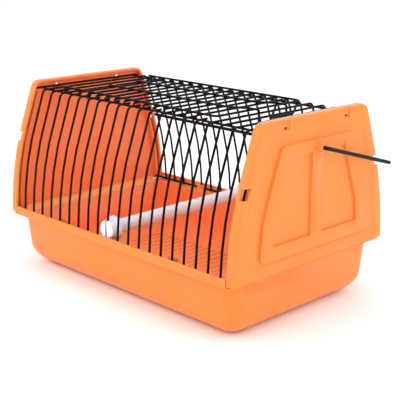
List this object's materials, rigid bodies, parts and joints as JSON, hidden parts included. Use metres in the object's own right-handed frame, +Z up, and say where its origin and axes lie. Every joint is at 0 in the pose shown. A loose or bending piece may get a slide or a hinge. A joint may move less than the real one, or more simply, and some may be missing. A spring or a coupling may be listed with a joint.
{
  "type": "bird travel carrier",
  "caption": "Small bird travel carrier: moulded tray, two windowed end panels, a cage of bent wires with a hinged roof door, a clip-on perch and a folding wire handle.",
  "frame": {"origin": "middle of the underside of the tray, in the middle of the object's footprint", "axes": "+Z up, X along the carrier with the roof door's hinge at -X, -Y the front"},
  "size_m": [0.2384, 0.1418, 0.1295],
  "materials": {
    "orange_plastic": "glossy moulded, slightly translucent",
    "black_wire": "glossy black coating",
    "handle_wire": "satin dark grey coating",
    "perch_plastic": "satin, slightly translucent"
  },
  "bodies": {
    "tray": {"tray": "orange_plastic"},
    "cage": {"end_panel_left": "orange_plastic", "end_panel_right": "orange_plastic", "end_hoop_left": "black_wire", "end_hoop_right": "black_wire", "hoops_left": "black_wire", "hoops_right": "black_wire", "bars_front": "black_wire", "bars_back": "black_wire", "rail_bottom_front": "black_wire", "rail_bottom_back": "black_wire", "rail_top_front": "black_wire", "rail_top_back": "black_wire", "perch_rod": "perch_plastic", "perch_clip_front": "perch_plastic", "perch_clip_back": "perch_plastic"},
    "door": {"door_frame": "black_wire", "door_bars_grid": "black_wire", "door_cross_wires": "black_wire", "door_inner_loop": "black_wire"},
    "handle": {"handle": "handle_wire"}
  },
  "joints": [
    {"name": "cage_lift", "type": "slide", "parent": "tray", "child": "cage", "axis": [0, 0, 1], "range_m": [0, 0.06]},
    {"name": "door_hinge", "type": "hinge", "parent": "cage", "child": "door", "pos_m": [-0.08682, 0, 0.1238], "axis": [0, -1, 0], "range_deg": [0, 145]},
    {"name": "handle_swing", "type": "hinge", "parent": "cage", "child": "handle", "pos_m": [0, 0, 0.1096], "axis": [1, 0, 0], "range_deg": [0, 213]}
  ]
}
